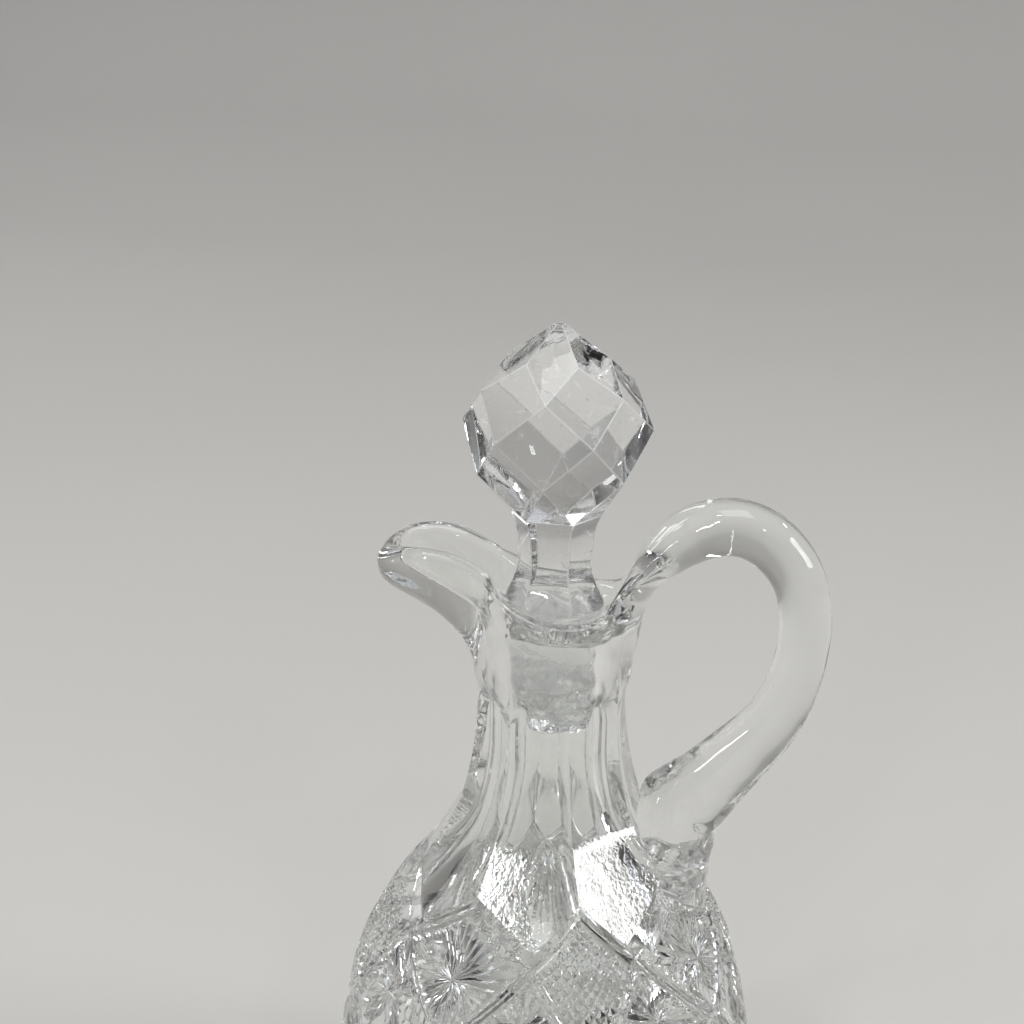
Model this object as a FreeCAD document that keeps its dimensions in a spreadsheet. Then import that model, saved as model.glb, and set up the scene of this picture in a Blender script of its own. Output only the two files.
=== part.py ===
import FreeCAD, Part

# Pressed-glass oil bottle: a panelled bottle with a pulled pouring lip, an applied loop handle
# and a faceted stopper. Millimetres and degrees. +Z is up, the origin is the centre of the foot,
# +X points to the handle and -X to the pouring lip.

import math
import os

import Sketcher

VEC = FreeCAD.Vector
UP = VEC(0, 0, 1)
FULL_TURN = 360

# Driving dimensions: alias, value, what it is.
SIZES = [
    ("foot_r", 27.0, "outer radius of the foot"),
    ("foot_rise", 4.0, "height of the upright foot"),
    ("foot_bevel", 0.6, "bevel at the foot's outer edge"),
    ("ring_inner_r", 22.5, "inner radius of the resting ring"),
    ("recess_r", 21.0, "radius of the hollow under the base"),
    ("recess_deep", 1.5, "depth of the hollow under the base"),
    ("belly_r", 40.2, "largest radius of the belly"),
    ("belly_z", 32.0, "height of the largest radius"),
    ("belly_low_arc", 36.3, "profile radius below the largest radius"),
    ("belly_top_arc", 66.5, "profile radius above the largest radius"),
    ("shoulder_slope", 34.5, "shoulder's angle from upright"),
    ("bend_arc", 20.0, "profile radius where the shoulder turns up to the neck"),
    ("bend_slope", 17.3, "angle from upright where that turn meets the neck"),
    ("neck_arc", 64.0, "profile radius of the neck below its waist"),
    ("neck_r", 14.4, "corner radius of the neck at its waist"),
    ("neck_z", 107.0, "height of the neck's waist"),
    ("flare_arc", 33.0, "profile radius of the neck above its waist"),
    ("blank_top", 112.5, "top of the turned neck, where the lip starts"),
    ("panels", 8, "flat panels round the neck"),
    ("panel_inset", 1.2, "depth of a panel's middle at the waist"),
    ("panel_low", 65.5, "height where a panel runs out on the shoulder"),
    ("panel_top", 111.5, "height where a panel runs out under the lip"),
    ("floor_z", 8.0, "top of the glass under the cavity"),
    ("floor_r", 19.0, "flat radius of the cavity floor"),
    ("cavity_r", 35.0, "largest radius of the cavity"),
    ("cavity_z", 33.0, "height of that radius"),
    ("cavity_low_arc", 27.0, "cavity profile radius below its largest radius"),
    ("cavity_top_arc", 47.0, "cavity profile radius above its largest radius"),
    ("bore_r", 8.0, "bore radius under the stopper's seat"),
    ("bore_low", 97.0, "height where the bore opens into the shoulder"),
    ("seat_low", 112.0, "height of the seat's small end"),
    ("seat_top", 121.0, "height of the seat's large end"),
    ("seat_top_r", 8.8, "seat radius at its large end"),
    ("mouth_z", 127.5, "height where the funnel over the seat meets the lip"),
    ("lip_top", 139.0, "top of the lip before its edge is cut"),
    ("spout_half_angle", 26.5, "half angle of the pouring spout, seen from above"),
    ("crest_x", 24.0, "distance of the spout's highest edge from the axis"),
    ("crest_z", 137.4, "height of that edge"),
    ("crest_arc", 20.5, "curve radius of the edge at the crest"),
    ("dip_x", 5.5, "distance of the lip's lowest edge from the axis, on the handle's side"),
    ("dip_z", 126.4, "height of that edge"),
    ("dip_back_arc", 13.0, "curve radius of the edge from the dip to the handle"),
    ("back_x", 16.0, "where the edge runs level under the handle"),
    ("handle_r", 4.8, "handle radius at its slimmest"),
    ("plug_z", 102.0, "height of the plug's lower face"),
    ("plug_top_z", 125.5, "height of the plug's upper edge"),
    ("plug_round", 1.6, "rounding of the plug's lower edge"),
    ("plug_gap", 0.07, "gap between the plug and its seat, measured on the radius"),
    ("shank_foot_r", 8.6, "hexagon corner radius above the plug"),
    ("waist_z", 133.0, "height of the shank's waist"),
    ("waist_r", 6.9, "hexagon corner radius at the waist"),
    ("facets", 6, "facets round each row of the knob"),
    ("apex_z", 180.0, "height where the top facets would meet in a point"),
    ("knob_top", 179.2, "height of the blunted tip"),
    ("ring_two_r", 15.0, "corner radius of the knob's second ring"),
    ("ring_two_deep", 12.15, "depth of that ring under the sharp point"),
    ("ring_three_r", 17.8, "corner radius of the widest ring"),
    ("ring_three_deep", 19.6, "depth of the widest ring"),
    ("ring_four_deep", 27.75, "depth of the fourth ring"),
    ("knob_deep", 38.4, "depth where the under facets meet the shank"),
]

# Sections of the lip's outside: height, reach of the spout, radius at the sides, radius at the back.
LIP_OUTSIDE = [
    (115.5, 15.6, 15.2, 15.5),
    (120.0, 18.4, 15.2, 16.2),
    (124.0, 22.6, 15.2, 16.9),
    (127.0, 27.4, 15.1, 17.6),
    (130.0, 32.4, 15.0, 18.2),
    (134.0, 33.4, 15.0, 18.8),
    (139.0, 33.6, 15.0, 19.2),
]

# The same for the hollow over the mouth, from the funnel up.
LIP_INSIDE = [
    (127.5, 13.2, 12.2, 13.2),
    (130.0, 20.5, 12.1, 14.6),
    (132.0, 27.6, 12.0, 15.3),
    (134.5, 30.2, 12.0, 15.8),
    (139.0, 30.6, 12.0, 16.2),
]
LIP_POINTS = 36
SPOUT_SHARPNESS = 3.6

# The handle's run: X, height, direction of travel from +X towards +Z, radius over the slimmest.
HANDLE_RUN = [
    (16.0, 131.0, 56, 1.15),
    (18.6, 135.4, 50, 1.18),
    (22.0, 139.2, 38, 1.16),
    (27.0, 142.1, 20, 1.13),
    (33.5, 143.0, -3, 1.12),
    (40.1, 140.4, -38, 1.08),
    (44.8, 134.8, -62, 1.04),
    (46.7, 127.8, -82, 1.01),
    (46.6, 120.4, -97, 1.00),
    (44.9, 112.8, -108, 1.04),
    (41.4, 105.4, -120, 1.13),
    (36.2, 98.9, -130, 1.27),
    (30.8, 92.8, -131, 1.44),
    (26.3, 86.6, -121, 1.58),
    (24.0, 80.0, -104, 1.62),
    (23.4, 73.0, -92, 1.56),
    (24.2, 66.0, -86, 1.35),
]

doc = FreeCAD.newDocument("oil_bottle")
sheet = doc.addObject("Spreadsheet::Sheet", "sizes")
for row, (alias, value, note) in enumerate(SIZES, start=1):
    sheet.set(f"A{row}", note)
    sheet.set(f"B{row}", str(value))
    sheet.setAlias(f"B{row}", alias)
doc.recompute()


def number(expression):
    """The present value of an expression over the sheet."""
    return float(sheet.evalExpression(expression))


def cell(alias):
    return f"sizes.{alias}"


def origin_plane(body, role):
    return next(feature for feature in body.Origin.OriginFeatures if feature.Role == role)


def new_body(name):
    return doc.addObject("PartDesign::Body", name)


def new_sketch(body, name, role="XZ_Plane", offset=None):
    sketch = body.newObject("Sketcher::SketchObject", name)
    sketch.AttachmentSupport = [(origin_plane(body, role), "")]
    sketch.MapMode = "FlatFace"
    if offset:
        sketch.AttachmentOffset = offset
    return sketch


def drive(sketch, expression, kind, *where):
    """Adds a dimension that follows an expression over the sheet."""
    index = sketch.addConstraint(Sketcher.Constraint(kind, *where, number(expression)))
    name = f"size_{index}"
    sketch.renameConstraint(index, name)
    sketch.setExpression(f"Constraints.{name}", expression)


def arc_through(start, end, radius):
    """The arc from start to end that turns left when radius is positive and right when negative."""
    chord = end - start
    half = chord.Length / 2
    side = VEC(-chord.y, chord.x, 0).normalize() * math.copysign(1, radius)
    height = math.sqrt(radius * radius - half * half)
    bulge = start + chord / 2 - side * (abs(radius) - height)
    return Part.Arc(start, bulge, end)


def outline(sketch, corners):
    """Closes an outline whose corners are (x, y, radius) expressions; radius shapes the edge after it.

    Every corner is held by two driven dimensions and every curved edge by a driven radius.
    A radius of None is a straight edge, and "-" before a radius turns the edge to the right.
    """
    points = [VEC(number(x), number(y), 0) for x, y, _ in corners]
    count = len(corners)
    for index, (x, y, bend) in enumerate(corners):
        start, end = points[index], points[(index + 1) % count]
        if bend is None:
            sketch.addGeometry(Part.LineSegment(start, end))
        else:
            sketch.addGeometry(arc_through(start, end, number(bend)))
    curved = [number(bend) if bend else 0 for _, _, bend in corners]
    # An arc drawn clockwise is stored the other way round, so its first point is its end.
    first = [2 if bend < 0 else 1 for bend in curved]
    for index in range(count):
        after = (index + 1) % count
        sketch.addConstraint(
            Sketcher.Constraint("Coincident", index, 3 - first[index], after, first[after])
        )
    for index, (x, y, bend) in enumerate(corners):
        for kind, expression, axis in (("DistanceX", x, -2), ("DistanceY", y, -1)):
            if abs(number(expression)) < 1e-9:
                sketch.addConstraint(Sketcher.Constraint("PointOnObject", index, first[index], axis))
            else:
                drive(sketch, expression, kind, index, first[index])
        if bend:
            drive(sketch, f"abs({bend})", "Radius", index)


def turned(body, sketch, name):
    """Turns an outline once round Z."""
    feature = body.newObject("PartDesign::Revolution", name)
    feature.Profile = sketch
    feature.ReferenceAxis = (sketch, ["V_Axis"])
    feature.Angle = FULL_TURN
    sketch.Visibility = False
    doc.recompute()
    return feature


def repeated(body, feature, name, alias):
    """Repeats a feature round Z as often as the sheet says."""
    pattern = body.newObject("PartDesign::PolarPattern", name)
    pattern.Originals = [feature]
    pattern.Axis = (origin_plane(body, "Z_Axis"), [""])
    pattern.Angle = FULL_TURN
    pattern.setExpression("Occurrences", cell(alias))
    body.Tip = pattern
    doc.recompute()
    return pattern


def cut_across(body, sketch, name, half_width):
    """Cuts an outline both ways from its plane."""
    pocket = body.newObject("PartDesign::Pocket", name)
    pocket.Profile = sketch
    pocket.Midplane = True
    pocket.Length = 2 * half_width
    doc.recompute()
    return pocket


# The outside profile, as expressions: the shoulder is a straight line tangent to its two arcs.
BELLY_END_R = "(sizes.belly_r - sizes.belly_top_arc * (1 - cos(sizes.shoulder_slope)))"
BELLY_END_Z = "(sizes.belly_z + sizes.belly_top_arc * sin(sizes.shoulder_slope))"
NECK_END_R = "(sizes.neck_r + sizes.neck_arc * (1 - cos(sizes.bend_slope)))"
NECK_END_Z = "(sizes.neck_z - sizes.neck_arc * sin(sizes.bend_slope))"
BEND_END_R = f"({NECK_END_R} + sizes.bend_arc * (cos(sizes.bend_slope) - cos(sizes.shoulder_slope)))"
BEND_END_Z = f"({NECK_END_Z} - sizes.bend_arc * (sin(sizes.shoulder_slope) - sin(sizes.bend_slope)))"
FLARE_RISE = "(sizes.blank_top - sizes.neck_z)"
BLANK_TOP_R = f"(sizes.neck_r + sizes.flare_arc - sqrt(sizes.flare_arc ^ 2 - {FLARE_RISE} ^ 2))"


def make_blank():
    """The solid outside of the bottle up to the lip, with its flat neck panels."""
    body = new_body("blank")
    profile = new_sketch(body, "blank_profile")
    outline(profile, [
        ("0", cell("recess_deep"), None),
        (cell("recess_r"), cell("recess_deep"), None),
        (cell("ring_inner_r"), "0", None),
        ("sizes.foot_r - sizes.foot_bevel", "0", None),
        (cell("foot_r"), cell("foot_bevel"), None),
        (cell("foot_r"), cell("foot_rise"), cell("belly_low_arc")),
        (cell("belly_r"), cell("belly_z"), cell("belly_top_arc")),
        (BELLY_END_R, BELLY_END_Z, None),
        (BEND_END_R, BEND_END_Z, "-sizes.bend_arc"),
        (NECK_END_R, NECK_END_Z, "-sizes.neck_arc"),
        (cell("neck_r"), cell("neck_z"), "-sizes.flare_arc"),
        (BLANK_TOP_R, cell("blank_top"), None),
        ("0", cell("blank_top"), None),
    ])
    turned(body, profile, "blank_turning")

    # A panel follows the neck's arc, set in by the inset, and runs out at both ends.
    panel = new_sketch(body, "panel_profile")
    outline(panel, [
        (f"{BEND_END_R} + (sizes.panel_inset + {BEND_END_Z} - sizes.panel_low) * 0.62",
         cell("panel_low"), None),
        (f"{NECK_END_R} - sizes.panel_inset", NECK_END_Z, "-sizes.neck_arc"),
        ("sizes.neck_r - sizes.panel_inset", cell("neck_z"), None),
        (BLANK_TOP_R, cell("panel_top"), None),
        ("sizes.belly_r + 1", cell("panel_top"), None),
        ("sizes.belly_r + 1", cell("panel_low"), None),
    ])
    first = cut_across(body, panel, "first_panel", half_width=number(cell("belly_r")))
    repeated(body, first, "panels_round", "panels")
    return body


def lip_section(height, reach, side, back):
    """A closed curve round the lip at one height: round at the sides and back, drawn out to the spout."""
    points = []
    for step in range(LIP_POINTS):
        angle = FULL_TURN * step / LIP_POINTS
        from_spout = min(angle, FULL_TURN - angle)
        towards_back = (1 - math.cos(math.radians(from_spout))) / 2
        spout = math.exp(-((from_spout / number(cell("spout_half_angle"))) ** SPOUT_SHARPNESS))
        radius = side + (back - side) * towards_back ** 2 + (reach - side) * spout
        turn = math.radians(angle + 180)
        points.append(VEC(radius * math.cos(turn), radius * math.sin(turn), height))
    curve = Part.BSplineCurve()
    curve.interpolate(Points=points, PeriodicFlag=True)
    return Part.Wire([curve.toShape()])


def make_loft(name, sections):
    """A free-form solid through closed curves, which no sketch feature holds."""
    feature = doc.addObject("Part::Feature", name)
    feature.Shape = Part.makeLoft([lip_section(*section) for section in sections], True, False)
    return feature


def make_cavity():
    """The hollow of the bottle: belly, bore, tapered seat and the funnel over it."""
    body = new_body("cavity")
    profile = new_sketch(body, "cavity_profile")
    neck_arc = (
        f"(((({cell('bore_low')} - {cell('cavity_z')}) ^ 2 + ({cell('cavity_r')} - {cell('bore_r')}) ^ 2)"
        f" / (2 * ({cell('cavity_r')} - {cell('bore_r')}))) - {cell('cavity_top_arc')})"
    )
    share = f"({neck_arc} / ({neck_arc} + {cell('cavity_top_arc')}))"
    across = (f"({neck_arc} + {cell('cavity_top_arc')} - {cell('cavity_r')} + {cell('bore_r')})")
    outline(profile, [
        ("0", cell("floor_z"), None),
        (cell("floor_r"), cell("floor_z"), cell("cavity_low_arc")),
        (cell("cavity_r"), cell("cavity_z"), cell("cavity_top_arc")),
        (f"{cell('bore_r')} + {neck_arc} - {across} * {share}",
         f"{cell('bore_low')} - ({cell('bore_low')} - {cell('cavity_z')}) * {share}",
         f"-{neck_arc}"),
        (cell("bore_r"), cell("bore_low"), None),
        (cell("bore_r"), cell("seat_low"), None),
        (cell("seat_top_r"), cell("seat_top"), None),
        (str(LIP_INSIDE[0][2] + 0.3), cell("mouth_z"), None),
        ("0", cell("mouth_z"), None),
    ])
    turned(body, profile, "cavity_turning")
    return body


def make_edge_cut():
    """What is taken off above the lip's edge: a crest at the spout and a dip at the neck."""
    body = new_body("edge_cut")
    profile = new_sketch(body, "edge_profile")
    dip_arc = (
        "(((sizes.crest_x + sizes.dip_x) ^ 2 + (sizes.crest_z - sizes.dip_z) ^ 2)"
        " / (2 * (sizes.crest_z - sizes.dip_z)) - sizes.crest_arc)"
    )
    share = f"(sizes.crest_arc / (sizes.crest_arc + {dip_arc}))"
    far_x = "(sizes.crest_x + 12)"
    far_z = "(sizes.crest_z - sizes.crest_arc + sqrt(sizes.crest_arc ^ 2 - 144))"
    back_z = (
        "(sizes.dip_z + sizes.dip_back_arc"
        " - sqrt(sizes.dip_back_arc ^ 2 - (sizes.back_x - sizes.dip_x) ^ 2))"
    )
    outline(profile, [
        (f"-{far_x}", far_z, "-sizes.crest_arc"),
        (f"-sizes.crest_x + (sizes.crest_x + sizes.dip_x) * {share}",
         f"sizes.crest_z - (sizes.crest_z - sizes.dip_z) * {share}",
         dip_arc),
        (cell("dip_x"), cell("dip_z"), cell("dip_back_arc")),
        (cell("back_x"), back_z, None),
        ("sizes.back_x + 10", back_z, None),
        ("sizes.back_x + 10", "sizes.lip_top + 2", None),
        (f"-{far_x}", "sizes.lip_top + 2", None),
    ])
    pad = body.newObject("PartDesign::Pad", "edge_block")
    pad.Profile = profile
    pad.Midplane = True
    pad.setExpression("Length", "2 * sizes.belly_r")
    doc.recompute()
    return body


def make_handle_run():
    """The handle as one drawn rod, thick at both ends, through round sections along its run."""
    body = new_body("handle_run")
    rings = []
    for index, (x, z, direction, swell) in enumerate(HANDLE_RUN):
        turn = FreeCAD.Rotation(VEC(0, 1, 0), 90 - direction)
        place = FreeCAD.Placement(VEC(x, 0, z), turn)
        ring = new_sketch(body, f"handle_ring_{index + 1}", "XY_Plane", place)
        ring.addGeometry(Part.Circle(VEC(0, 0, 0), UP, number(cell("handle_r")) * swell))
        ring.addConstraint(Sketcher.Constraint("Coincident", 0, 3, -1, 1))
        drive(ring, f"sizes.handle_r * {swell}", "Radius", 0)
        rings.append(ring)
    doc.recompute()
    loft = body.newObject("PartDesign::AdditiveLoft", "handle_loft")
    loft.Profile = rings[0]
    loft.Sections = rings[1:]
    doc.recompute()
    return body


def boolean(kind, name, base, tool):
    feature = doc.addObject(f"Part::{kind}", name)
    feature.Base = base
    feature.Tool = tool
    feature.Label = name
    doc.recompute()
    return feature


def hexagon(body, name, radius, height):
    """A six-cornered section of the shank, a corner pointing along +X."""
    place = FreeCAD.Placement(VEC(0, 0, number(height)), FreeCAD.Rotation())
    sketch = new_sketch(body, name, "XY_Plane", place)
    sketch.setExpression("AttachmentOffset.Base.z", height)
    count = int(number(cell("facets")))
    points = []
    for corner in range(count):
        turn = 2 * math.pi * corner / count
        points.append(VEC(math.cos(turn), math.sin(turn), 0) * number(radius))
    for corner in range(count):
        sketch.addGeometry(Part.LineSegment(points[corner], points[(corner + 1) % count]))
    circle = sketch.addGeometry(Part.Circle(VEC(0, 0, 0), UP, number(radius)), True)
    sketch.addConstraint(Sketcher.Constraint("Coincident", circle, 3, -1, 1))
    for corner in range(count):
        after = (corner + 1) % count
        sketch.addConstraint(Sketcher.Constraint("Coincident", corner, 2, after, 1))
        sketch.addConstraint(Sketcher.Constraint("PointOnObject", corner, 1, circle))
        if corner:
            sketch.addConstraint(Sketcher.Constraint("Equal", 0, corner))
    sketch.addConstraint(Sketcher.Constraint("PointOnObject", 0, 1, -1))
    drive(sketch, radius, "Radius", circle)
    return sketch


def knob_rings():
    """Radius and depth of the knob's rings of corners, worked out so that every facet is flat.

    Corners of odd rings point along +X, those of even rings lie half a facet round from it.
    """
    flat = math.cos(math.pi / number(cell("facets")))
    two_r, two_deep = number(cell("ring_two_r")), number(cell("ring_two_deep"))
    three_r, three_deep = number(cell("ring_three_r")), number(cell("ring_three_deep"))
    four_deep = number(cell("ring_four_deep"))
    deep = number(cell("knob_deep"))
    # Ring one lies on the top facets and on the line from ring three through ring two's flats.
    rise = flat * two_deep / two_r
    fall = (three_deep - two_deep) / (three_r - two_r * flat)
    one_r = (three_deep - fall * three_r) / (rise - fall)
    # Ring four lies on the line through ring two and ring three's flats.
    lean = (three_r * flat - two_r) / (three_deep - two_deep)
    four_r = two_r + lean * (four_deep - two_deep)
    tuck = (four_r * flat - three_r) / (four_deep - three_deep)
    five_r = three_r + tuck * (deep - three_deep)
    return [(0.0, 0.0), (one_r, one_r * rise), (two_r, two_deep), (three_r, three_deep),
            (four_r, four_deep), (five_r, deep)]


def cut_facets(body, name, near, far, half_turn):
    """Cuts one row of facets: the plane through two of its corners, repeated round the knob."""
    apex = number(cell("apex_z"))
    reach = 3 * number(cell("ring_three_r"))
    along = (VEC(far[0], apex - far[1], 0) - VEC(near[0], apex - near[1], 0)).normalize()
    outward = VEC(-along.y, along.x, 0)
    middle = VEC(near[0], apex - near[1], 0)
    corners = [
        middle - along * reach,
        middle + along * reach,
        middle + along * reach + outward * reach,
        middle - along * reach + outward * reach,
    ]
    turn = FreeCAD.Rotation(VEC(0, 1, 0), -half_turn)
    sketch = new_sketch(body, f"{name}_plane", "XZ_Plane", FreeCAD.Placement(VEC(0, 0, 0), turn))
    for index, corner in enumerate(corners):
        sketch.addGeometry(Part.LineSegment(corner, corners[(index + 1) % len(corners)]))
        sketch.addConstraint(Sketcher.Constraint("Block", index))
    first = cut_across(body, sketch, f"{name}_first", half_width=reach)
    repeated(body, first, f"{name}_row", "facets")


def make_stopper():
    """The stopper: a faceted knob, a waisted six-sided shank and a round tapered plug."""
    body = new_body("stopper")
    rings = knob_rings()
    shank_top = "(sizes.apex_z - sizes.knob_deep)"
    blank = new_sketch(body, "knob_profile")
    outline(blank, [
        ("0", shank_top, None),
        ("sizes.ring_three_r + 1", shank_top, None),
        ("sizes.ring_three_r + 1", cell("knob_top"), None),
        ("0", cell("knob_top"), None),
    ])
    turned(body, blank, "knob_blank")
    half = FULL_TURN / number(cell("facets")) / 2
    flat = math.cos(math.radians(half))
    rows = [
        ("crown", rings[0], rings[2], half),
        ("upper", rings[1], rings[3], 0),
        ("girdle", rings[2], rings[4], half),
        ("under", rings[3], rings[5], 0),
        ("collar", rings[4], (rings[5][0] * flat, rings[5][1]), half),
    ]
    for name, near, far, turn in rows:
        cut_facets(body, name, near, far, turn)

    sections = [
        hexagon(body, "shank_top", str(rings[5][0]), shank_top),
        hexagon(body, "shank_waist", cell("waist_r"), cell("waist_z")),
        hexagon(body, "shank_foot", cell("shank_foot_r"), cell("plug_top_z")),
    ]
    doc.recompute()
    shank = body.newObject("PartDesign::AdditiveLoft", "shank")
    shank.Profile = sections[0]
    shank.Sections = sections[1:]
    doc.recompute()

    taper = "((sizes.seat_top_r - sizes.bore_r) / (sizes.seat_top - sizes.seat_low))"
    plug_top_r = f"(sizes.seat_top_r - sizes.plug_gap + {taper} * (sizes.plug_top_z - sizes.seat_top))"
    plug_low_r = f"(sizes.bore_r - sizes.plug_gap - {taper} * (sizes.seat_low - sizes.plug_z))"
    plug = new_sketch(body, "plug_profile")
    outline(plug, [
        ("0", cell("plug_z"), None),
        (f"{plug_low_r} - sizes.plug_round", cell("plug_z"), cell("plug_round")),
        (f"{plug_low_r} + {taper} * sizes.plug_round", "sizes.plug_z + sizes.plug_round", None),
        (plug_top_r, cell("plug_top_z"), None),
        ("0", cell("plug_top_z"), None),
    ])
    turned(body, plug, "plug_turning")
    return body


blank = make_blank()
neck_ring = (number(cell("blank_top")),) + 3 * (number(BLANK_TOP_R),)
lip = make_loft("lip_outside", [neck_ring] + LIP_OUTSIDE)
mouth = make_loft("lip_inside", LIP_INSIDE)
cavity = make_cavity()
edge = make_edge_cut()
handle_run = make_handle_run()
solid_outside = boolean("Fuse", "solid_outside", blank, lip)
outside = boolean("Cut", "outside", solid_outside, edge)
hollow = boolean("Fuse", "hollow", cavity, mouth)
bottle = boolean("Cut", "bottle", outside, hollow)
handle = boolean("Cut", "handle", handle_run, outside)
stopper = make_stopper()

for item in doc.Objects:
    if "Invalid" in item.State or "Error" in item.State:
        raise RuntimeError(f"{item.Name} did not build: {item.State}")

os.makedirs("parts", exist_ok=True)
for node, item in (("bottle", bottle), ("handle", handle), ("stopper", stopper)):
    shape = item.Shape
    if shape.isNull() or not shape.isValid():
        raise RuntimeError(f"{node} has no valid shape")
    shape.exportStep(os.path.join("parts", f"{node}.step"))
    box = shape.BoundBox
    print(node, len(shape.Solids), "solid", round(shape.Volume), "mm3",
          [round(value, 2) for value in (box.XMin, box.XMax, box.YMin, box.YMax, box.ZMin, box.ZMax)])
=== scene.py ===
import math

import bmesh
import bpy
from mathutils import Matrix, Vector, noise


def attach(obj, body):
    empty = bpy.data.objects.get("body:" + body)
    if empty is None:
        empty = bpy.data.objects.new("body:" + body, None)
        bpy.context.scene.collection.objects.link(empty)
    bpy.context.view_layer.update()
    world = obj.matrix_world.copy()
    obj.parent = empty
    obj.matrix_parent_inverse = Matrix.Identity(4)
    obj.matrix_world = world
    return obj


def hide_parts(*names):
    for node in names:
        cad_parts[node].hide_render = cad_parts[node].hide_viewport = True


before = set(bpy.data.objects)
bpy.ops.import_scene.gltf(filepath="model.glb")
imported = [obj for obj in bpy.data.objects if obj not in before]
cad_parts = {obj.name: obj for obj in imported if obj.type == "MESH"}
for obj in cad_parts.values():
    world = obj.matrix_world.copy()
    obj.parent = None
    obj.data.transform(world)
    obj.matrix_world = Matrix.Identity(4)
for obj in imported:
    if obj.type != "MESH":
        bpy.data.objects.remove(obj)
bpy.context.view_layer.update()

# A clear pressed-glass oil bottle. Sizes are in millimetres and turned into metres when a mesh is
# made. Heights are measured from the foot. Turns are in degrees from +X, the side of the handle.
MM = 0.001
FULL = 360.0
HALF_CIRCLE = 180.0
COLUMNS = 256
PANELS = 8
PANEL_TURN = FULL / PANELS
HALF_PANEL = PANEL_TURN / 2
# Places along one side of a lattice cell.
SIDE_STEPS = 16

# Heights of the lattice's corners, from the shoulder to the foot.
LATTICE = [73.5, 65.5, 50.0, 36.0, 22.5, 9.0]
# Rosette cells are wider than point cells, so the corners between them stand off the even turns.
CORNER_SHIFT = 3.8
FOOT_TOP = 4.0
NECK_TOP = 112.5

# The cut bands between cells, as shares of a cell's half width: flat crest, groove, edge of the field.
CREST_SHARE = 0.985
GROOVE_SHARE = 0.94
FIELD_SHARE = 0.885
CREST_DEEP = 0.55
GROOVE_DEEP = 1.25
FIELD_DEEP = 0.10


def cosd(angle):
    return math.cos(math.radians(angle))


def sind(angle):
    return math.sin(math.radians(angle))


def mix(a, b, share):
    return a + (b - a) * share


def clamp(value, low=0.0, high=1.0):
    return max(low, min(high, value))


def smoothstep(low, high, value):
    """From 0 at low to 1 at high, with a soft start and end."""
    share = clamp((value - low) / (high - low))
    return share * share * (3 - 2 * share)


def arc_right(centre_r, centre_z, radius, z):
    """The radius at height z on an arc that bulges away from the axis."""
    return centre_r + math.sqrt(radius**2 - (z - centre_z) ** 2)


def arc_left(centre_r, centre_z, radius, z):
    """The radius at height z on an arc that curves in towards the axis."""
    return centre_r - math.sqrt(radius**2 - (z - centre_z) ** 2)


def between(knots, z):
    """A smooth value at z through knots of (z, value)."""
    last = len(knots) - 1
    if z <= knots[0][0]:
        return knots[0][1]
    if z >= knots[last][0]:
        return knots[last][1]
    i = max(n for n in range(last) if knots[n][0] <= z)

    def slope(n):
        low, high = knots[max(n - 1, 0)], knots[min(n + 1, last)]
        return (high[1] - low[1]) / (high[0] - low[0])

    (z0, v0), (z1, v1) = knots[i], knots[i + 1]
    step = z1 - z0
    t = (z - z0) / step
    return (
        (1 + 2 * t) * (1 - t) ** 2 * v0
        + t * (1 - t) ** 2 * step * slope(i)
        + t * t * (3 - 2 * t) * v1
        + t * t * (t - 1) * step * slope(i + 1)
    )


# --- the turned shape -------------------------------------------------------------------------
BELLY_Z = 32.0
SHOULDER = ((28.50, 69.67), (19.91, 82.59))
NECK_FROM = 87.97
WAIST_Z = 107.0
# Each arc of the outside: the centre's distance from the axis, its height and the arc's radius.
LOW_BELLY = (3.9, BELLY_Z, 36.3)
HIGH_BELLY = (-26.3, BELLY_Z, 66.5)
BEND = (36.39, 93.92, 20.0)
LOW_NECK = (78.4, WAIST_Z, 64.0)
HIGH_NECK = (47.4, WAIST_Z, 33.0)


def body_radius(z):
    """The outside radius of foot, belly, shoulder and neck."""
    (low_r, low_z), (high_r, high_z) = SHOULDER
    if z <= BELLY_Z:
        return arc_right(*LOW_BELLY, z)
    if z <= low_z:
        return arc_right(*HIGH_BELLY, z)
    if z <= high_z:
        return mix(low_r, high_r, (z - low_z) / (high_z - low_z))
    if z <= NECK_FROM:
        return arc_left(*BEND, z)
    if z <= WAIST_Z:
        return arc_left(*LOW_NECK, z)
    return arc_left(*HIGH_NECK, z)


# The lip: height, then reach of the spout, radius at the sides, radius at the back.
LIP_OUTSIDE = [
    (112.5, 14.86, 14.86, 14.86),
    (115.5, 15.6, 15.2, 15.5),
    (120.0, 18.4, 15.2, 16.2),
    (124.0, 22.6, 15.2, 16.9),
    (127.0, 27.4, 15.1, 17.6),
    (130.0, 32.4, 15.0, 18.2),
    (134.0, 33.4, 15.0, 18.8),
    (139.0, 33.6, 15.0, 19.2),
]
SPOUT_HALF_ANGLE = 26.5
SPOUT_SHARPNESS = 3.6


def lip_radius(turn, z):
    """The lip's outside radius at a turn from +X, with the spout towards -X."""
    reach, side, back = (
        between([(row[0], row[column]) for row in LIP_OUTSIDE], z) for column in (1, 2, 3)
    )
    from_spout = abs(HALF_CIRCLE - turn % FULL)
    to_back = ((1 - cosd(from_spout)) / 2) ** 2
    spout = math.exp(-((from_spout / SPOUT_HALF_ANGLE) ** SPOUT_SHARPNESS))
    return side + (back - side) * to_back + (reach - side) * spout


# The lip's edge from the side: arcs of (centre's X, centre's height, radius) over the spout, down
# to the lowest place and up to the handle, where the edge runs level.
CREST = (-24.0, 116.9, 20.5)
DIP = (5.5, 150.96, 24.56)
BACK = (5.5, 139.4, 13.0)
BACK_X = 16.0
CREST_SHARE_OF_WAY = 0.455


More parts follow.
